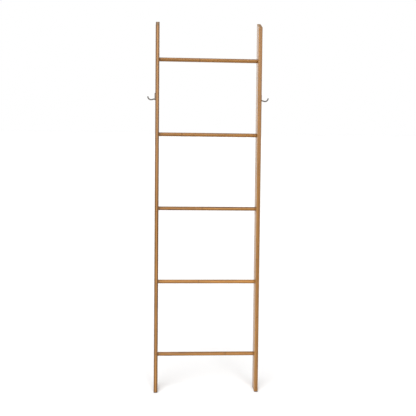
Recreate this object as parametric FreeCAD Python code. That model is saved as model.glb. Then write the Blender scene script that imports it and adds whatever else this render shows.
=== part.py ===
"""Leaning ladder towel rack: two flat bamboo rails, five round rungs and two side hooks.

The ladder is built upright in its own axes: X across, Y from front to back, Z along the rails,
with Z = 0 where a rail's centre line meets the floor. Then it is leaned back onto the wall.
In the finished part +Z is up, +Y points to the wall, and the origin is at floor level in the
middle of the outline. Millimetres and degrees.
"""
import FreeCAD, Part
import math
import os

from FreeCAD import Placement, Rotation, Vector

# Ladder
WIDTH = 500.0                # over the outer faces of the rails
LEAN = 10.0                  # backward lean from the vertical
RAIL_LENGTH = 1742.0         # on the centre line, from the floor to the mitred top
RAIL_THICKNESS = 18.0
RAIL_DEPTH = 45.0
RAIL_EDGE_RADIUS = 3.0
END_EDGE_RADIUS = 1.0
TOP_MITRE = 37.0             # top cut, rising from the front edge to the back edge
RUNG_COUNT = 5
RUNG_PITCH = 350.0
LOWEST_RUNG = 175.0          # floor to the lowest rung, along the rail
RUNG_DIAMETER = 18.0

# Rung joints: a bolt through the rail into a threaded insert in the end of the rung
SOCKET_DEPTH = 6.0
SOCKET_CLEARANCE = 0.2       # between the rung and the wall of its socket
BOLT_DIAMETER = 6.0
BOLT_LENGTH = 20.0
BOLT_HOLE_DIAMETER = 6.5
BOLT_HEAD_DIAMETER = 11.5
BOLT_HEAD_HEIGHT = 3.0
BOLT_HEX_KEY = 4.0
BOLT_HEX_DEPTH = 2.0
HEAD_BORE_DIAMETER = 12.2
PLUG_DIAMETER = 14.0
PLUG_THICKNESS = 2.5
PLUG_GAP = 1.0               # between a bolt head and the plug over it
INSERT_DIAMETER = 10.0
INSERT_BORE_DIAMETER = 6.2
INSERT_LENGTH = 15.0
INSERT_RIDGES = 5
INSERT_RIDGE_HEIGHT = 0.8
INSERT_BORE_SPARE = 1.0      # how much deeper than the insert its bore is

# Side hooks
HOOK_HEIGHT = LOWEST_RUNG + (RUNG_COUNT - 1.5) * RUNG_PITCH   # midway between the top two rungs
PLATE_WIDTH = 14.0
PLATE_TOP = 17.5             # above HOOK_HEIGHT
PLATE_BOTTOM = -15.0
PLATE_THICKNESS = 4.0
PLATE_CORNER_RADIUS = 4.0
ARM_DIAMETER = 6.0
ARM_ROOT = -9.5              # above HOOK_HEIGHT, as are the screws
ARM_DROOP = 15.0
ARM_LOW_POINT = 20.5         # rail face to the lowest point of the arm
ARM_BEND_RADIUS = 15.0
ARM_CURL = 82.0              # degrees that the bend climbs past its lowest point
ARM_SPIGOT_DIAMETER = 3.6
SCREW_HEIGHTS = (-1.0, 11.5)
SCREW_DIAMETER = 3.5
SCREW_HEAD_DIAMETER = 6.6
SCREW_HEAD_HEIGHT = 1.8
SCREW_LENGTH = 16.0
SCREW_TIP_LENGTH = 4.0
SCREW_SLOT_LENGTH = 3.6
SCREW_SLOT_WIDTH = 0.7
SCREW_SLOT_DEPTH = 1.0

# Pads
FOOT_PAD_THICKNESS = 2.0
WALL_PAD_HEIGHT = 34.0
WALL_PAD_WIDTH = 14.0
WALL_PAD_MINIMUM = 2.0       # thickness at its thin upper end
WALL_PAD_EDGE_RADIUS = 1.0

CLEARANCE = 0.1              # between a fastener and the wall of its hole
TOLERANCE = 1e-4             # for finding edges and vertices by their place
MARGIN = 60.0                # spare material that the end cuts take off
FAR = 2500.0                 # larger than the whole part

# Worked out from the dimensions above
OUTER = WIDTH / 2
INNER = OUTER - RAIL_THICKNESS
RUNG_END = INNER + SOCKET_DEPTH
HEAD_BORE_DEPTH = PLUG_THICKNESS + BOLT_HEAD_HEIGHT + PLUG_GAP
SLOPE = math.radians(LEAN)
MITRE_RISE = RAIL_DEPTH / 2 * math.tan(math.radians(TOP_MITRE))
RUNG_HEIGHTS = [LOWEST_RUNG + i * RUNG_PITCH for i in range(RUNG_COUNT)]
FOOT_FRONT = -RAIL_DEPTH / 2 / math.cos(SLOPE)
TOP_CORNER = (RAIL_DEPTH / 2 * math.cos(SLOPE)
              + (RAIL_LENGTH + MITRE_RISE) * math.sin(SLOPE))
WALL = TOP_CORNER + WALL_PAD_MINIMUM
LEANED = Placement(Vector(0, -(FOOT_FRONT + WALL) / 2, 0), Rotation(Vector(1, 0, 0), -LEAN))


def lean(shape):
    """Move a shape from the upright ladder to its place in the leaning one."""
    placed = shape.copy()
    placed.Placement = LEANED.multiply(placed.Placement)
    return placed


def mirror_to_right(shape):
    """Return the right-hand twin of a left-hand shape."""
    return shape.mirror(Vector(0, 0, 0), Vector(1, 0, 0))


def block(x_min, x_max, y_min, y_max, z_min, z_max):
    """Return a box between two corners."""
    return Part.makeBox(x_max - x_min, y_max - y_min, z_max - z_min, Vector(x_min, y_min, z_min))


def rod(diameter, x_start, x_end, z=0.0):
    """Return a cylinder along X at height z."""
    start = Vector(x_start, 0, z)
    return Part.makeCylinder(diameter / 2, x_end - x_start, start, Vector(1, 0, 0))


def turned(profile, z=0.0):
    """Spin (x, radius) points about the X axis into a solid, and raise it to height z."""
    points = [Vector(x, radius, 0) for x, radius in profile]
    outline = Part.makePolygon(points + points[:1])
    solid = Part.Face(outline).revolve(Vector(0, 0, 0), Vector(1, 0, 0), 360)
    solid.translate(Vector(0, 0, z))
    return solid


def above(height, rise):
    """Return the space above a plane at this height on the centre line, rising to the back."""
    space = block(-FAR, FAR, -FAR, FAR, 0, FAR)
    space.rotate(Vector(0, 0, 0), Vector(1, 0, 0), rise)
    space.translate(Vector(0, 0, height))
    return space


def below(height, rise):
    """Return the space below the same kind of plane."""
    space = block(-FAR, FAR, -FAR, FAR, -FAR, 0)
    space.rotate(Vector(0, 0, 0), Vector(1, 0, 0), rise)
    space.translate(Vector(0, 0, height))
    return space


def edges_on_plane(shape, height, rise):
    """Return the edges that lie on a plane rising from front to back."""
    slope = math.tan(math.radians(rise))

    def on_plane(vertex):
        return abs(vertex.Z - height - vertex.Y * slope) < TOLERANCE

    return [edge for edge in shape.Edges if all(on_plane(vertex) for vertex in edge.Vertexes)]


def rail_bar(z_min, z_max):
    """Return a length of left-hand rail stock with its four long edges rounded."""
    half_depth = RAIL_DEPTH / 2
    bar = block(-OUTER, -INNER, -half_depth, half_depth, z_min, z_max)
    long_edges = [edge for edge in bar.Edges if edge.BoundBox.ZLength > RAIL_DEPTH]
    return bar.makeFillet(RAIL_EDGE_RADIUS, long_edges)


def make_left_rail():
    """Rail: level foot, mitred top, a socket and bolt hole for each rung, hook screw holes."""
    foot_height = FOOT_PAD_THICKNESS / math.cos(SLOPE)
    rail = rail_bar(-MARGIN, RAIL_LENGTH + MARGIN)
    rail = rail.cut([below(foot_height, LEAN), above(RAIL_LENGTH, TOP_MITRE)])
    end_edges = edges_on_plane(rail, foot_height, LEAN)
    end_edges += edges_on_plane(rail, RAIL_LENGTH, TOP_MITRE)
    rail = rail.makeFillet(END_EDGE_RADIUS, end_edges)
    holes = []
    for z in RUNG_HEIGHTS:
        holes.append(rod(RUNG_DIAMETER + 2 * SOCKET_CLEARANCE, -RUNG_END, -INNER, z))
        holes.append(rod(BOLT_HOLE_DIAMETER, -OUTER, -INNER, z))
        holes.append(rod(HEAD_BORE_DIAMETER, -OUTER, -OUTER + HEAD_BORE_DEPTH, z))
        holes.append(rod(PLUG_DIAMETER + 2 * CLEARANCE, -OUTER, -OUTER + PLUG_THICKNESS, z))
    hole_depth = SCREW_LENGTH - PLATE_THICKNESS + CLEARANCE
    for height in SCREW_HEIGHTS:
        diameter = SCREW_DIAMETER + 2 * CLEARANCE
        holes.append(rod(diameter, -OUTER, -OUTER + hole_depth, HOOK_HEIGHT + height))
    return rail.cut(holes)


def make_rung(z):
    """Round rung with eased ends and a bore for a threaded insert in each end."""
    ease = 0.5
    radius = RUNG_DIAMETER / 2
    right_end = [(RUNG_END, 0), (RUNG_END, radius - ease), (RUNG_END - ease, radius)]
    left_end = [(-x, r) for x, r in reversed(right_end)]
    rung = turned(right_end + left_end, z)
    bore_depth = INSERT_LENGTH + INSERT_BORE_SPARE
    bore = rod(INSERT_DIAMETER + 2 * CLEARANCE, RUNG_END - bore_depth, RUNG_END, z)
    return rung.cut([bore, mirror_to_right(bore)])


def make_left_insert(z):
    """Threaded insert in the end of a rung, with a ridged outside that grips the bamboo."""
    outer = INSERT_DIAMETER / 2
    root = outer - INSERT_RIDGE_HEIGHT
    pitch = INSERT_LENGTH / INSERT_RIDGES
    inner = INSERT_BORE_DIAMETER / 2
    profile = [(-RUNG_END, inner)]
    for ridge in range(INSERT_RIDGES):
        start = -RUNG_END + ridge * pitch
        profile += [(start, outer), (start + pitch / 2, outer), (start + pitch * 0.75, root)]
    profile += [(-RUNG_END + INSERT_LENGTH, root), (-RUNG_END + INSERT_LENGTH, inner)]
    return turned(profile, z)


def make_left_bolt(z):
    """Low-headed bolt with a hex key recess, under the rail's cover plug."""
    seat = -OUTER + HEAD_BORE_DEPTH
    head_top = seat - BOLT_HEAD_HEIGHT
    ease = 0.5
    head_radius = BOLT_HEAD_DIAMETER / 2
    shank_radius = BOLT_DIAMETER / 2
    end = seat + BOLT_LENGTH
    profile = [
        (head_top, 0), (head_top, head_radius - ease), (head_top + ease, head_radius),
        (seat, head_radius), (seat, shank_radius), (end - 2 * ease, shank_radius),
        (end, shank_radius - 2 * ease), (end, 0),
    ]
    corner_radius = BOLT_HEX_KEY / 2 / math.cos(math.radians(30))
    corners = []
    for corner in range(6):
        angle = math.radians(60 * corner)
        across = corner_radius * math.cos(angle)
        up = corner_radius * math.sin(angle)
        corners.append(Vector(head_top, across, z + up))
    outline = Part.Face(Part.makePolygon(corners + corners[:1]))
    return turned(profile, z).cut(outline.extrude(Vector(BOLT_HEX_DEPTH, 0, 0)))


def make_left_plug(z):
    """Bamboo cover plug, flush with the rail's outer face, with an eased rim."""
    ease = 0.4
    radius = PLUG_DIAMETER / 2
    profile = [
        (-OUTER, 0), (-OUTER, radius - ease), (-OUTER + ease, radius),
        (-OUTER + PLUG_THICKNESS, radius), (-OUTER + PLUG_THICKNESS, 0),
    ]
    return turned(profile, z)


def make_left_hook_plate():
    """Hook plate: rounded steel strap with two countersunk holes and a hole for the arm."""
    half_width = PLATE_WIDTH / 2
    face = -OUTER - PLATE_THICKNESS
    plate = block(face, -OUTER, -half_width, half_width,
                  HOOK_HEIGHT + PLATE_BOTTOM, HOOK_HEIGHT + PLATE_TOP)
    corners = [edge for edge in plate.Edges if edge.BoundBox.XLength > PLATE_THICKNESS / 2]
    plate = plate.makeFillet(PLATE_CORNER_RADIUS, corners)
    outline = [edge for edge in plate.Edges
               if abs(edge.BoundBox.XMin - face) < TOLERANCE and edge.BoundBox.XLength < TOLERANCE]
    plate = plate.makeFillet(PLATE_THICKNESS / 4, outline)
    holes = [rod(ARM_SPIGOT_DIAMETER + 2 * CLEARANCE, face, -OUTER, HOOK_HEIGHT + ARM_ROOT)]
    head_radius = SCREW_HEAD_DIAMETER / 2 + CLEARANCE
    shank_radius = SCREW_DIAMETER / 2 + CLEARANCE
    for height in SCREW_HEIGHTS:
        profile = [
            (face, 0), (face, head_radius), (face + SCREW_HEAD_HEIGHT, shank_radius),
            (-OUTER, shank_radius), (-OUTER, 0),
        ]
        holes.append(turned(profile, HOOK_HEIGHT + height))
    return plate.cut(holes)


def make_left_hook_arm():
    """Hook arm: round steel rod that droops a little, curls up and ends in a round tip."""
    droop = math.radians(ARM_DROOP)
    curl = math.radians(ARM_CURL)
    face = -OUTER - PLATE_THICKNESS
    root = Vector(face, 0, HOOK_HEIGHT + ARM_ROOT)
    centre_x = -OUTER - ARM_LOW_POINT
    straight = face - centre_x - ARM_BEND_RADIUS * math.sin(droop)
    centre_z = root.z - straight * math.tan(droop) + ARM_BEND_RADIUS * math.cos(droop)

    def on_bend(angle):
        """Return a point of the bend, by its angle past the lowest point."""
        return Vector(centre_x - ARM_BEND_RADIUS * math.sin(angle), 0,
                      centre_z - ARM_BEND_RADIUS * math.cos(angle))

    bend_start = on_bend(-droop)
    tip = on_bend(curl)
    path = Part.Wire([
        Part.LineSegment(root, bend_start).toShape(),
        Part.Arc(bend_start, on_bend((curl - droop) / 2), tip).toShape(),
    ])
    radius = ARM_DIAMETER / 2
    section = Part.Wire(Part.makeCircle(radius, root, bend_start - root))
    arm = path.makePipeShell([section], True, False)
    spigot = rod(ARM_SPIGOT_DIAMETER, face - radius, -OUTER, root.z)
    beyond_face = block(face, FAR, -radius * 2, radius * 2, root.z - FAR, root.z + FAR)
    rod_body = arm.fuse(Part.makeSphere(radius, tip)).cut(beyond_face)
    return rod_body.fuse(spigot).removeSplitter()


def make_left_hook_screw(z):
    """Countersunk wood screw with a cross recess, flush with the hook plate."""
    face = -OUTER - PLATE_THICKNESS
    end = face + SCREW_LENGTH
    shank_radius = SCREW_DIAMETER / 2
    profile = [
        (face, 0), (face, SCREW_HEAD_DIAMETER / 2), (face + SCREW_HEAD_HEIGHT, shank_radius),
        (end - SCREW_TIP_LENGTH, shank_radius), (end, 0),
    ]
    half_length = SCREW_SLOT_LENGTH / 2
    half_width = SCREW_SLOT_WIDTH / 2
    floor = face + SCREW_SLOT_DEPTH
    level_slot = block(face, floor, -half_length, half_length, z - half_width, z + half_width)
    upright_slot = block(face, floor, -half_width, half_width, z - half_length, z + half_length)
    return turned(profile, z).cut([level_slot, upright_slot])


def make_left_foot_pad():
    """Rubber foot pad: fills the last layer between the rail's level foot and the floor."""
    stock = rail_bar(-MARGIN, MARGIN)
    return stock.cut([below(0, LEAN), above(FOOT_PAD_THICKNESS / math.cos(SLOPE), LEAN)])


def make_left_wall_pad():
    """Rubber wall pad: a wedge behind the top of the rail, with its back flat to the wall."""
    middle = -(OUTER + INNER) / 2
    half_width = WALL_PAD_WIDTH / 2
    top = RAIL_LENGTH + MITRE_RISE - RAIL_EDGE_RADIUS
    back = RAIL_DEPTH / 2
    stock = block(middle - half_width, middle + half_width, back, back + RAIL_DEPTH,
                  top - WALL_PAD_HEIGHT, top)
    wall_gap = WALL_PAD_MINIMUM + RAIL_EDGE_RADIUS * math.sin(SLOPE)
    past_wall = block(-FAR, FAR, 0, FAR, -FAR, FAR)
    past_wall.rotate(Vector(0, 0, 0), Vector(1, 0, 0), LEAN)
    past_wall.translate(Vector(0, back, top) + Vector(0, math.cos(SLOPE), math.sin(SLOPE)) * wall_gap)
    pad = stock.cut(past_wall)
    wall_face = max(pad.Faces, key=lambda face: face.CenterOfMass.y)
    return pad.makeFillet(WALL_PAD_EDGE_RADIUS, wall_face.Edges)


def group(make_piece, heights):
    """Return identical pieces at these heights as one compound of separate solids."""
    return Part.makeCompound([make_piece(z) for z in heights])


def make_left_nodes():
    """Return the upright shapes that come in left and right pairs, by name."""
    screw_heights = [HOOK_HEIGHT + height for height in SCREW_HEIGHTS]
    return {
        "rail": make_left_rail(),
        "rung_bolts": group(make_left_bolt, RUNG_HEIGHTS),
        "threaded_inserts": group(make_left_insert, RUNG_HEIGHTS),
        "cover_plugs": group(make_left_plug, RUNG_HEIGHTS),
        "hook_plate": make_left_hook_plate(),
        "hook_arm": make_left_hook_arm(),
        "hook_screws": group(make_left_hook_screw, screw_heights),
        "foot_pad": make_left_foot_pad(),
        "wall_pad": make_left_wall_pad(),
    }


def make_nodes():
    """Return every upright shape of the rack by node name; rung_1 is the top rung."""
    nodes = {}
    for name, shape in make_left_nodes().items():
        nodes["left_" + name] = shape
        nodes["right_" + name] = mirror_to_right(shape)
    for number, z in enumerate(reversed(RUNG_HEIGHTS), start=1):
        nodes["rung_%d" % number] = make_rung(z)
    return nodes


def main():
    """Write one STEP file for each node of the leaning rack."""
    os.makedirs("parts", exist_ok=True)
    for name, shape in make_nodes().items():
        placed = lean(shape)
        placed.exportStep("parts/%s.step" % name)
        box = placed.BoundBox
        print("%-24s solids %d valid %s volume %10.1f x %.1f..%.1f y %.1f..%.1f z %.1f..%.1f" % (
            name, len(placed.Solids), placed.isValid(), placed.Volume,
            box.XMin, box.XMax, box.YMin, box.YMax, box.ZMin, box.ZMax))


main()
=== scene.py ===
import math

import bpy
from mathutils import Matrix, Vector


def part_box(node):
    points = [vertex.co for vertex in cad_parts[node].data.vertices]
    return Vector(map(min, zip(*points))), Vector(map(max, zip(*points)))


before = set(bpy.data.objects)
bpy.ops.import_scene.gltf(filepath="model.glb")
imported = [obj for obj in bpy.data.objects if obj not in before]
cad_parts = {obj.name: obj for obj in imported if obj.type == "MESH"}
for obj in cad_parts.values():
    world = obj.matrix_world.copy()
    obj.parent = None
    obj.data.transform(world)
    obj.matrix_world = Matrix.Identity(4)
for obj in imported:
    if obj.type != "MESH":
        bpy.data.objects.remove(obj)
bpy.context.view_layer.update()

SIDES = ("left", "right")
RUNGS = sorted(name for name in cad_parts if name.startswith("rung_"))   # rung_1 is on top

# The build of the bamboo, metres
PLY_COUNT = 3                 # glued layers across a rail's thickness, or up a rung
RAIL_DEPTH = 0.045            # front to back, square to the rail
STRIP_WIDTH = 0.015           # of the strips that make one layer of a rail
STRIP_STAGGER = 0.006         # between the strips of one layer and those of the next
STRIP_START = 1.0             # strip 0 starts this far in front of the rungs, so no number is negative
JOINT_WIDTH = 0.00012         # half the width of a glue line
NO_JOINT = 1.0                # a distance at which no glue line shows
KNUCKLE_SPACING = 0.34        # between the knuckles of the bamboo cane, which show as dark rings
KNUCKLE_REACH = 0.0035        # how far the shade around a ring spreads
KNUCKLE_WOBBLE = 0.004        # how far a ring strays from a straight line
EDGE_REACH = 0.0035           # how far hands have darkened the rails from their long edges
RAIL_SHADE_REACH = 0.012           # how far along a rung the painted shade next to a rail reaches
TOWEL_HEIGHT = 1.3            # in rung radii, from a rung's bottom to where towels begin to touch it

# Every glued strip has a number, and its random shade comes from that
LAYER_NUMBER_STEP = 100.0     # from the strips of one layer to those of the next
RUNG_NUMBER_STEP = 31.0       # from one rung to the next
RAIL_NUMBER_OFFSET = {"left": 7.0, "right": 11.0}
PLUG_NUMBER_OFFSET = 500.0

# Bamboo colours for tones 0 and 1, linear
RAIL_COLOURS = ((0.078, 0.026, 0.003, 1.0), (0.470, 0.225, 0.056, 1.0))
RUNG_COLOURS = ((0.078, 0.025, 0.002, 1.0), (0.492, 0.220, 0.037, 1.0))
END_COLOURS = ((0.070, 0.032, 0.010, 1.0), (0.400, 0.235, 0.100, 1.0))     # sawn ends

# Tones of a rail's layers from the inner to the outer face, 0 dark to 1 light: partly the layers' own
# shades, partly painted light where faces turn to the light and painted shade at edges turning from it
RAIL_TONES = {"left": (0.20, 0.64, 0.20), "right": (0.66, 0.46, 0.50)}
# Tones of the rungs' layers from their lower to their upper edge: partly the layers' own shades,
# partly painted light on the layers turned to the light and painted shade at the edges seen side-on
RUNG_TONES = {
    "rung_1": (0.52, 0.52, 0.26),
    "rung_2": (0.47, 0.52, 0.24),
    "rung_3": (0.35, 0.65, 0.25),
    "rung_4": (0.42, 0.81, 0.60),
    "rung_5": (0.34, 0.62, 0.42),
}
PLUG_TONE = 0.62
WIDE_FACE_PAINTED_SHEEN = 0.30         # painted sheen added on the rails' wide faces, for the pale reflection they show at a grazing angle
RAIL_SHADE_TONE = -0.10            # painted shade added on a rung next to a rail, where the rail shades its end

# Place across the ladder of the knuckle that shows on each rung
RUNG_KNUCKLES = {
    "rung_1": -0.041,
    "rung_2": -0.122,
    "rung_3": -0.024,
    "rung_4": -0.037,
    "rung_5": 0.095,
}

# What each pattern of the bamboo adds to its tone, surface height and roughness
TONE_WEIGHTS = {"shade": 0.16, "fine": 0.75, "broad": 0.45, "cloudy": 0.45, "fleck": -0.20,
                "halo": -0.12, "ring": -0.27, "glue": -0.25, "handled": -0.20}
END_TONE_WEIGHTS = {"glue": -0.20, "fibre_bundle": -0.25}
HEIGHT_WEIGHTS = {"fine": 0.5, "fleck": -0.35, "glue": -0.6, "ring": -0.4, "open_bundle": -0.8}
ROUGHNESS_WEIGHTS = {"broad": 0.14, "fleck": 0.08, "sawn": 0.25, "handled": 0.12}
BAMBOO_ROUGHNESS = 0.43
LACQUER = 0.85                # strength of the clear coat
LACQUER_LOST = 0.75           # share of it that a sawn end soaks up
LACQUER_GLOSS = 0.6           # the coat's roughness as a share of the bamboo's

# Values between which a pattern goes from 0 to 1
FLECK_RANGE = (0.10, 0.24)     # of the short streaks
HANDLED_RANGE = (-0.15, 0.10)  # of the broad streaks
BUNDLE_RANGE = (0.42, 0.2)     # of the distance to a fibre bundle's middle, in cells
FACING_RANGE = (0.55, 0.75)    # of the cosine between the surface's normal and an axis


def middle(node):
    """Return the middle of a CAD node's box."""
    low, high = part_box(node)
    return (Vector(low) + Vector(high)) / 2


def ladder_matrix():
    """Return the matrix from the row frame to the ladder's own axes.

    There X is across, Y is the distance behind the rungs' plane and Z the distance up the rails.
    """
    bottom = middle(RUNGS[-1])
    up = (middle(RUNGS[0]) - bottom).normalized()
    lean = math.atan2(up.y, up.z)
    turn = Matrix.Rotation(lean, 4, "X")
    height = bottom.z / math.cos(lean)
    shift = Vector((0, 0, height)) - turn @ bottom
    return Matrix.Translation(shift) @ turn


LADDER = ladder_matrix()
RUNG_HEIGHTS = {name: (LADDER @ middle(name)).z for name in RUNGS}
RUNG_SPACING = (RUNG_HEIGHTS[RUNGS[0]] - RUNG_HEIGHTS[RUNGS[-1]]) / (len(RUNGS) - 1)
RUNG_RADIUS = (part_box(RUNGS[0])[1][2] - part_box(RUNGS[0])[0][2]) / 2
RAIL_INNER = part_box("right_rail")[0][0]
RAIL_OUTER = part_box("right_rail")[1][0]
RAIL_PLY = (RAIL_OUTER - RAIL_INNER) / PLY_COUNT
RUNG_PLY = 2 * RUNG_RADIUS / PLY_COUNT

# The ladder's own axes
ACROSS, BEHIND, UP = Vector((1, 0, 0)), Vector((0, 1, 0)), Vector((0, 0, 1))


class Graph:
    """The node tree of a material or world. An input may be a constant or another node's output."""

    def __init__(self, block):
        block.use_nodes = True
        self.block = block
        self.tree = block.node_tree
        self.tree.nodes.clear()

    def node(self, kind, inputs=None, **settings):
        made = self.tree.nodes.new("ShaderNode" + kind)
        for key, value in settings.items():
            setattr(made, key, value)
        for socket, value in (inputs or {}).items():
            if isinstance(value, bpy.types.NodeSocket):
                self.tree.links.new(value, made.inputs[socket])
            else:
                made.inputs[socket].default_value = value
        return made

    def math(self, operation, *values):
        return self.node("Math", dict(enumerate(values)), operation=operation).outputs[0]

    def add(self, *values):
        total = values[0]
        for value in values[1:]:
            total = self.math("ADD", total, value)
        return total

    def subtract(self, value, amount):
        return self.math("SUBTRACT", value, amount)

    def scaled(self, value, factor):
        return self.math("MULTIPLY", value, factor)

    def absolute(self, value):
        return self.math("ABSOLUTE", value)

    def held(self, value, low, high):
        """Return the value kept between two limits."""
        return self.math("MINIMUM", self.math("MAXIMUM", value, low), high)

    def step(self, value, start, end):
        """Return a smooth change from 0, where value is start or beyond, to 1 where it is end."""
        limits = (0.0, 1.0) if start < end else (1.0, 0.0)
        inputs = {"Value": value, "From Min": min(start, end), "From Max": max(start, end),
                  "To Min": limits[0], "To Max": limits[1]}
        return self.node("MapRange", inputs, interpolation_type="SMOOTHSTEP").outputs[0]

    def weighed(self, start, patterns, weights):
        """Return start plus each named pattern times its weight."""
        return self.add(start, *(self.scaled(patterns[name], weight)
                                 for name, weight in weights.items()))

    def vector(self, x, y, z):
        return self.node("CombineXYZ", {0: x, 1: y, 2: z}).outputs[0]

    def object_place(self):
        return self.node("TexCoord").outputs["Object"]

    def noise(self, vector, scale=1.0, detail=2.0, roughness=0.5):
        inputs = {"Vector": vector, "Scale": scale, "Detail": detail, "Roughness": roughness}
        return self.node("TexNoise", inputs).outputs[0]

    def mix(self, factor, a, b):
        """Return a mix of two colours. The Mix node has them in its inputs 6 and 7."""
        return self.node("Mix", {0: factor, 6: a, 7: b}, data_type="RGBA").outputs[2]

    def bump(self, height, strength, distance):
        inputs = {"Height": height, "Strength": strength, "Distance": distance}
        return self.node("Bump", inputs).outputs[0]

    def finish(self, shader_kind, output_kind, inputs):
        """Add the last shader with its output, and return the material or world."""
        shader = self.node(shader_kind, inputs)
        self.node(output_kind, {0: shader.outputs[0]})
        return self.block


def new_material(name):
    """Return the empty node tree of a new material."""
    return Graph(bpy.data.materials.new(name))


def surface(graph, inputs):
    """Finish a material."""
    return graph.finish("BsdfPrincipled", "OutputMaterial", inputs)


def ladder_position(graph):
    """Return the surface point's place in the ladder's own axes: across, behind and up."""
    turn = LADDER.to_euler()
    inputs = {"Vector": graph.object_place(), "Location": LADDER.to_translation(),
              "Rotation": (turn.x, turn.y, turn.z)}
    placed = graph.node("Mapping", inputs, vector_type="POINT").outputs[0]
    return graph.node("SeparateXYZ", {0: placed}).outputs[0:3]


def facing_along(graph, axis):
    """Return 1 where the surface faces either way along one of the ladder's axes."""
    row_axis = LADDER.to_3x3().transposed() @ axis
    normal = graph.node("NewGeometry").outputs["Normal"]
    inputs = {0: normal, 1: row_axis}
    cosine = graph.node("VectorMath", inputs, operation="DOT_PRODUCT").outputs["Value"]
    return graph.step(graph.absolute(cosine), *FACING_RANGE)


def layer_number(graph, from_edge, thickness):
    """Return the number of the glued layer at a distance from the first layer's outer side."""
    layer = graph.math("FLOOR", graph.scaled(from_edge, 1 / thickness))
    return graph.held(layer, 0.0, PLY_COUNT - 1.0)


def pick_tone(graph, layer, tones):
    """Return the tone of a numbered layer."""
    total = 0.0
    for number, tone in enumerate(tones):
        chosen = graph.math("COMPARE", layer, float(number), 0.5)
        total = graph.add(graph.scaled(chosen, tone), total)
    return total


def glue_distance(graph, value, spacing):
    """Return the distance from value to the nearest of the glue lines that lie spacing apart."""
    turn = graph.math("FRACT", graph.scaled(value, 1 / spacing))
    nearest = graph.math("MINIMUM", turn, graph.subtract(1.0, turn))
    return graph.scaled(nearest, spacing)


def knuckle_distance(graph, along, across, phase):
    """Return the distance to the nearest knuckle. One lies at 0.5 - phase spacings along."""
    stray = graph.noise(graph.vector(across, phase, 0.0), scale=260.0)
    place = graph.add(along, graph.scaled(stray, KNUCKLE_WOBBLE),
                      graph.scaled(phase, KNUCKLE_SPACING))
    turn = graph.math("FRACT", graph.scaled(place, 1 / KNUCKLE_SPACING))
    return graph.scaled(graph.absolute(graph.subtract(turn, 0.5)), KNUCKLE_SPACING)


def streaks(graph, fibre, length_scale, width_scale, detail):
    """Return noise around 0 that is drawn out along the fibres."""
    along, across, depth = fibre
    place = graph.vector(graph.scaled(along, length_scale), graph.scaled(across, width_scale),
                         graph.scaled(depth, width_scale))
    return graph.subtract(graph.noise(place, detail=detail), 0.5)


def clouds(graph, fibre, strip):
    """Return soft noise around 0 that starts anew on each strip."""
    place = graph.vector(graph.scaled(fibre[0], 5.0), graph.scaled(fibre[1], 20.0), strip)
    return graph.subtract(graph.noise(place), 0.5)


def fibre_bundles(graph, fibre):
    """Return 1 at the dots that bamboo's fibre bundles make on a sawn end."""
    section = graph.vector(fibre[1], fibre[2], 0.0)
    cells = graph.node("TexVoronoi", {"Vector": section, "Scale": 1100.0})
    return graph.step(cells.outputs["Distance"], *BUNDLE_RANGE)


def bamboo_patterns(graph, fibre, strip, joint, sawn, touched, knuckle_at):
    """Return the named patterns of the bamboo. Noises lie around 0 and marks go from 0 to 1."""
    chance = graph.node("TexWhiteNoise", {"W": strip}, noise_dimensions="1D")
    shade = graph.node("SeparateColor", {0: chance.outputs["Color"]}).outputs[1]
    phase = chance.outputs["Value"] if knuckle_at is None else 0.5 - knuckle_at / KNUCKLE_SPACING
    knuckle = knuckle_distance(graph, fibre[0], fibre[1], phase)
    broad = streaks(graph, fibre, length_scale=3.0, width_scale=260.0, detail=2.0)
    fine = streaks(graph, fibre, length_scale=14.0, width_scale=1500.0, detail=3.0)
    short = streaks(graph, fibre, length_scale=75.0, width_scale=2400.0, detail=0.0)
    bundle = fibre_bundles(graph, fibre)
    return {
        "shade": graph.subtract(shade, 0.5),
        "fine": fine,
        "broad": broad,
        "cloudy": clouds(graph, fibre, strip),
        "fleck": graph.step(short, *FLECK_RANGE),
        "halo": graph.step(knuckle, KNUCKLE_REACH, KNUCKLE_REACH / 4),
        "ring": graph.step(knuckle, KNUCKLE_REACH / 3, 0.0),
        "glue": graph.step(joint, 2 * JOINT_WIDTH, JOINT_WIDTH),
        "handled": graph.scaled(graph.step(broad, *HANDLED_RANGE), touched),
        "sawn": sawn,
        "fibre_bundle": bundle,
        "open_bundle": graph.scaled(bundle, sawn),
    }


def bamboo(graph, colours, fibre, strip, joint, layer_and_painted_tone, sawn, touched=0.0, knuckle_at=None):
    """Finish a lacquered bamboo material.

    fibre holds the place along, across and through the fibres in metres, strip numbers the glued
    strip, joint is the distance to its nearest glue line, sawn is 1 on sawn ends, touched is 1
    where hands and towels have darkened and dulled the lacquer, and knuckle_at places the
    knuckles, which are otherwise in a different place on each strip.
    """
    patterns = bamboo_patterns(graph, fibre, strip, joint, sawn, touched, knuckle_at)
    # The starting tone holds the layers' own shades together with the painted light and shade added to
    # them
    tone = graph.weighed(layer_and_painted_tone, patterns, TONE_WEIGHTS)
    end_tone = graph.weighed(layer_and_painted_tone, patterns, END_TONE_WEIGHTS)
    side_colour = graph.mix(graph.held(tone, 0.0, 1.0), *colours)
    end_colour = graph.mix(graph.held(end_tone, 0.0, 1.0), *END_COLOURS)
    height = graph.weighed(0.0, patterns, HEIGHT_WEIGHTS)
    roughness = graph.weighed(BAMBOO_ROUGHNESS, patterns, ROUGHNESS_WEIGHTS)
    return surface(graph, {
        "Base Color": graph.mix(sawn, side_colour, end_colour),
        "Roughness": roughness,
        "Normal": graph.bump(height, strength=0.4, distance=0.0002),
        "Specular IOR Level": 0.2,
        "Coat IOR": 1.33,
        "Coat Weight": graph.add(LACQUER, graph.scaled(sawn, -LACQUER_LOST * LACQUER)),
        "Coat Roughness": graph.scaled(roughness, LACQUER_GLOSS),
    })


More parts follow.
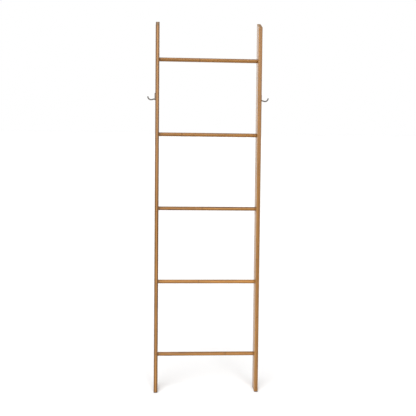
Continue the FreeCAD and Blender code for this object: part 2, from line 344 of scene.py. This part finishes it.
def rail_edges(graph, from_inner, behind):
    """Return 1 at a rail's four long edges and 0 away from them."""
    from_outer = graph.subtract(RAIL_OUTER - RAIL_INNER, from_inner)
    from_wide_face = graph.math("MINIMUM", from_inner, from_outer)
    from_narrow_face = graph.subtract(RAIL_DEPTH / 2, graph.absolute(behind))
    from_edge = graph.math("MAXIMUM", from_wide_face, from_narrow_face)
    return graph.step(from_edge, EDGE_REACH, EDGE_REACH / 3)


def rail_bamboo(side):
    """Rail: three layers across the thickness, each of strips that run up the rail."""
    graph = new_material("rail_bamboo_" + side)
    across, behind, up = ladder_position(graph)
    from_inner = graph.subtract(graph.absolute(across), RAIL_INNER)
    layer = layer_number(graph, from_inner, RAIL_PLY)
    from_start = graph.add(behind, STRIP_START, graph.scaled(layer, STRIP_STAGGER))
    strip = graph.add(graph.math("FLOOR", graph.scaled(from_start, 1 / STRIP_WIDTH)),
                      graph.scaled(layer, LAYER_NUMBER_STEP), RAIL_NUMBER_OFFSET[side])
    joint = graph.math("MINIMUM", glue_distance(graph, from_inner, RAIL_PLY),
                       glue_distance(graph, from_start, STRIP_WIDTH))
    # Painted sheen: the rails' wide faces get a lighter tone, for the pale reflection seen on them at
    # a grazing angle
    tone = graph.add(pick_tone(graph, layer, RAIL_TONES[side]),
                     graph.scaled(facing_along(graph, ACROSS), WIDE_FACE_PAINTED_SHEEN))
    return bamboo(graph, RAIL_COLOURS, (up, across, behind), strip, joint, tone,
                  facing_along(graph, UP), rail_edges(graph, from_inner, behind))


def towel_touch(graph, from_bottom, from_middle):
    """Return 1 where towels lie on a rung: its upper side, in the middle of the ladder."""
    upper = graph.step(from_bottom, TOWEL_HEIGHT * RUNG_RADIUS, 2 * RUNG_RADIUS)
    inside = graph.step(from_middle, RAIL_INNER, RAIL_INNER / 2)
    return graph.scaled(upper, inside)


def rung_bamboo(name):
    """Rung: turned from layered stock, with the fibres running across the ladder."""
    graph = new_material("rung_bamboo_" + name)
    across, behind, up = ladder_position(graph)
    from_bottom = graph.add(up, RUNG_RADIUS - RUNG_HEIGHTS[name])
    from_middle = graph.absolute(across)
    layer = layer_number(graph, from_bottom, RUNG_PLY)
    strip = graph.add(graph.scaled(layer, LAYER_NUMBER_STEP),
                      RUNG_NUMBER_STEP * RUNGS.index(name))
    # Painted shade: the rung's tone is darker next to each rail, where the rail shades its end
    rail_shaded = graph.step(from_middle, RAIL_INNER - RAIL_SHADE_REACH, RAIL_INNER - RAIL_SHADE_REACH / 3)
    tone = graph.add(pick_tone(graph, layer, RUNG_TONES[name]), graph.scaled(rail_shaded, RAIL_SHADE_TONE))
    return bamboo(graph, RUNG_COLOURS, (across, behind, from_bottom), strip,
                  glue_distance(graph, from_bottom, RUNG_PLY), tone, facing_along(graph, ACROSS),
                  towel_touch(graph, from_bottom, from_middle), RUNG_KNUCKLES[name])


def plug_bamboo():
    """Cover plug: cut across a strip, so that its fibres run from front to back."""
    graph = new_material("plug_bamboo")
    across, behind, up = ladder_position(graph)
    number = graph.math("FLOOR", graph.scaled(up, 1 / RUNG_SPACING))
    return bamboo(graph, RAIL_COLOURS, (behind, up, across), graph.add(number, PLUG_NUMBER_OFFSET),
                  NO_JOINT, PLUG_TONE, facing_along(graph, BEHIND))


def metal(name, colour, roughness, scratch_scale):
    """Bright metal with fine random scratches, duller smudges and tiny dents."""
    graph = new_material(name)
    place = graph.object_place()
    smudge = graph.noise(place, scale=90.0, detail=4.0, roughness=0.6)
    stretched = graph.node("Mapping", {"Vector": place, "Scale": (1.0, 6.0, 1.0)}).outputs[0]
    scratch = graph.noise(stretched, scratch_scale, detail=3.0, roughness=0.7)
    dulling = 0.78
    dull = tuple(dulling * channel for channel in colour[:3]) + (1.0,)
    height = graph.add(graph.scaled(scratch, 0.4), graph.scaled(smudge, 0.6))
    return surface(graph, {
        "Base Color": graph.mix(graph.step(smudge, 0.45, 0.7), colour, dull),
        "Metallic": 1.0,
        "Roughness": graph.add(roughness, graph.scaled(smudge, 0.12), graph.scaled(scratch, 0.06)),
        "Normal": graph.bump(height, strength=0.12, distance=0.0001),
    })


def rubber():
    """Matt brown rubber with a fine moulded grain and paler scuffs."""
    graph = new_material("rubber")
    place = graph.object_place()
    grain = graph.noise(place, scale=1800.0, detail=3.0, roughness=0.6)
    scuff = graph.noise(place, scale=160.0, detail=5.0, roughness=0.65)
    dark, pale = (0.050, 0.028, 0.014, 1.0), (0.110, 0.070, 0.042, 1.0)
    return surface(graph, {
        "Base Color": graph.mix(graph.step(scuff, 0.5, 0.8), dark, pale),
        "Roughness": graph.add(0.62, graph.scaled(scuff, 0.2)),
        "Normal": graph.bump(grain, strength=0.5, distance=0.0002),
    })


def paint(node, material):
    """Give a CAD node this material in every slot."""
    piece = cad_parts[node]
    if not piece.material_slots:
        piece.data.materials.append(material)
    for slot in piece.material_slots:
        slot.material = material


def paint_object():
    """Give each CAD node its material."""
    # Painted reflection: the hooks are chrome, given a dark base colour that stands in for the dark
    # surroundings they reflect
    chrome_painted_dark = metal("chrome_painted_dark", (0.12, 0.105, 0.09, 1.0), 0.16, 700.0)
    zinc_steel = metal("zinc_steel", (0.52, 0.51, 0.50, 1.0), 0.26, 900.0)
    finishes = {
        "_hook_plate": chrome_painted_dark,
        "_hook_arm": chrome_painted_dark,
        "_hook_screws": zinc_steel,
        "_rung_bolts": zinc_steel,
        "_threaded_inserts": metal("turned_brass", (0.60, 0.42, 0.17, 1.0), 0.22, 900.0),
        "_cover_plugs": plug_bamboo(),
    }
    pad = rubber()
    finishes.update({"_foot_pad": pad, "_wall_pad": pad})
    for side in SIDES:
        paint(side + "_rail", rail_bamboo(side))
        for ending, material in finishes.items():
            paint(side + ending, material)
    for name in RUNGS:
        paint(name, rung_bamboo(name))


def make_camera():
    """Camera in front of the left half of the ladder, looking slightly down and to the right."""
    place = Vector((-0.204, -1.9332, 1.2672))
    pan, tilt, roll = (math.radians(angle) for angle in (-2.21, 11.79, 0.82))
    camera = bpy.data.objects.new("camera", bpy.data.cameras.new("camera"))
    camera.data.lens = 35.9
    camera.data.sensor_width = 36.0
    camera.data.shift_x = 0.067
    turn = (Matrix.Rotation(pan, 4, "Z") @ Matrix.Rotation(math.pi / 2 - tilt, 4, "X")
            @ Matrix.Rotation(roll, 4, "Z"))
    camera.matrix_world = Matrix.Translation(place) @ turn
    bpy.context.scene.collection.objects.link(camera)
    bpy.context.scene.camera = camera


def make_sun(name, azimuth, elevation, strength, softness):
    """Soft distant light, in degrees. Azimuth 0 shines from the front and 90 from the right."""
    light = bpy.data.objects.new(name, bpy.data.lights.new(name, "SUN"))
    light.data.energy = strength
    light.data.angle = math.radians(softness)
    light.matrix_world = (Matrix.Rotation(math.radians(azimuth), 4, "Z")
                          @ Matrix.Rotation(math.radians(90 - elevation), 4, "X"))
    bpy.context.scene.collection.objects.link(light)


def make_floor():
    """Plain pale floor, reaching far past the camera's view."""
    graph = new_material("pale_floor")
    colour = graph.mix(graph.noise(graph.object_place(), scale=3.0),
                       (0.87, 0.87, 0.87, 1.0), (0.89, 0.89, 0.89, 1.0))
    reach = 40.0
    corners = [(-reach, -reach, 0), (reach, -reach, 0), (reach, reach, 0), (-reach, reach, 0)]
    mesh = bpy.data.meshes.new("floor")
    mesh.from_pydata(corners, [], [(0, 1, 2, 3)])
    mesh.materials.append(surface(graph, {"Base Color": colour, "Roughness": 0.9}))
    floor = bpy.data.objects.new("floor", mesh)
    bpy.context.scene.collection.objects.link(floor)


def make_surroundings():
    """White all round to the camera, but lights the ladder like a bright wall in a dark room."""
    graph = Graph(bpy.data.worlds.new("studio"))
    generated = graph.node("TexCoord").outputs["Generated"]
    backwards = graph.node("SeparateXYZ", {0: generated}).outputs["Y"]
    wall = {"Value": backwards, "From Min": 0.2, "From Max": 0.75, "To Min": 0.10, "To Max": 1.4}
    brightness = graph.node("MapRange", wall).outputs[0]
    seen = graph.node("LightPath").outputs["Is Camera Ray"]
    strength = graph.node("Mix", {"Factor": seen, "A": brightness, "B": 1.0}).outputs["Result"]
    background = {"Color": (1.0, 1.0, 1.0, 1.0), "Strength": strength}
    bpy.context.scene.world = graph.finish("Background", "OutputWorld", background)


make_camera()
make_floor()
make_surroundings()
make_sun("key", azimuth=-20.0, elevation=48.0, strength=3.3, softness=80.0)
make_sun("fill", azimuth=30.0, elevation=30.0, strength=0.6, softness=60.0)
paint_object()
bpy.context.scene.view_settings.view_transform = "Standard"
